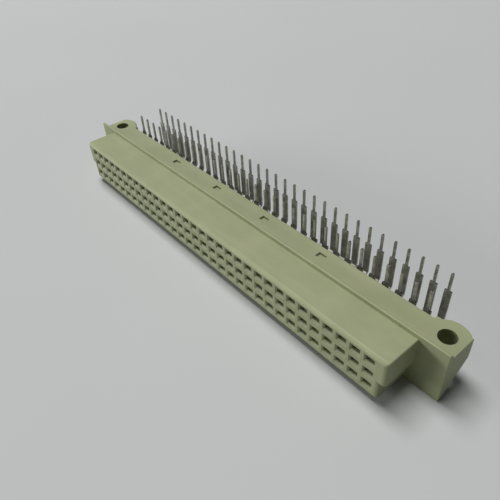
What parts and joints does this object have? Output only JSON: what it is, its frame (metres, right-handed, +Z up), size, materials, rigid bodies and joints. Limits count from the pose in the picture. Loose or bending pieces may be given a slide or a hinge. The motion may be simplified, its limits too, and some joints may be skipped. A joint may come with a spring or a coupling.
{
  "type": "right-angle board connector",
  "caption": "Long right-angle socket connector: a moulded body with rows of contact openings, a board seat with a stop lip, a mounting hole in each end ear and bent solder tails.",
  "frame": {"origin": "under the middle of the part, on the surface that it lies on with its board side up", "axes": "+X along the connector, +Y from the mating face to the solder tails, +Z up, out of the board seat"},
  "size_m": [0.0942, 0.0184, 0.0122],
  "materials": {
    "housing": "moulded thermoplastic, fine matt grain, light sage grey-green",
    "contacts": "tin plated copper alloy, satin grey"
  },
  "bodies": {
    "root": {"housing": "housing", "contact_pair_01": "contacts", "contact_pair_02": "contacts", "contact_pair_03": "contacts", "contact_pair_04": "contacts", "contact_pair_05": "contacts", "contact_pair_06": "contacts", "contact_pair_07": "contacts", "contact_pair_08": "contacts", "contact_pair_09": "contacts", "contact_pair_10": "contacts", "contact_pair_11": "contacts", "contact_pair_12": "contacts", "contact_pair_13": "contacts", "contact_pair_14": "contacts", "contact_pair_15": "contacts", "contact_pair_16": "contacts", "contact_pair_17": "contacts", "contact_pair_18": "contacts", "contact_pair_19": "contacts", "contact_pair_20": "contacts", "contact_pair_21": "contacts", "contact_pair_22": "contacts", "contact_pair_23": "contacts", "contact_pair_24": "contacts", "contact_pair_25": "contacts", "contact_pair_26": "contacts", "contact_pair_27": "contacts", "contact_pair_28": "contacts", "contact_pair_29": "contacts", "contact_pair_30": "contacts", "contact_pair_31": "contacts", "contact_pair_32": "contacts"}
  },
  "joints": []
}
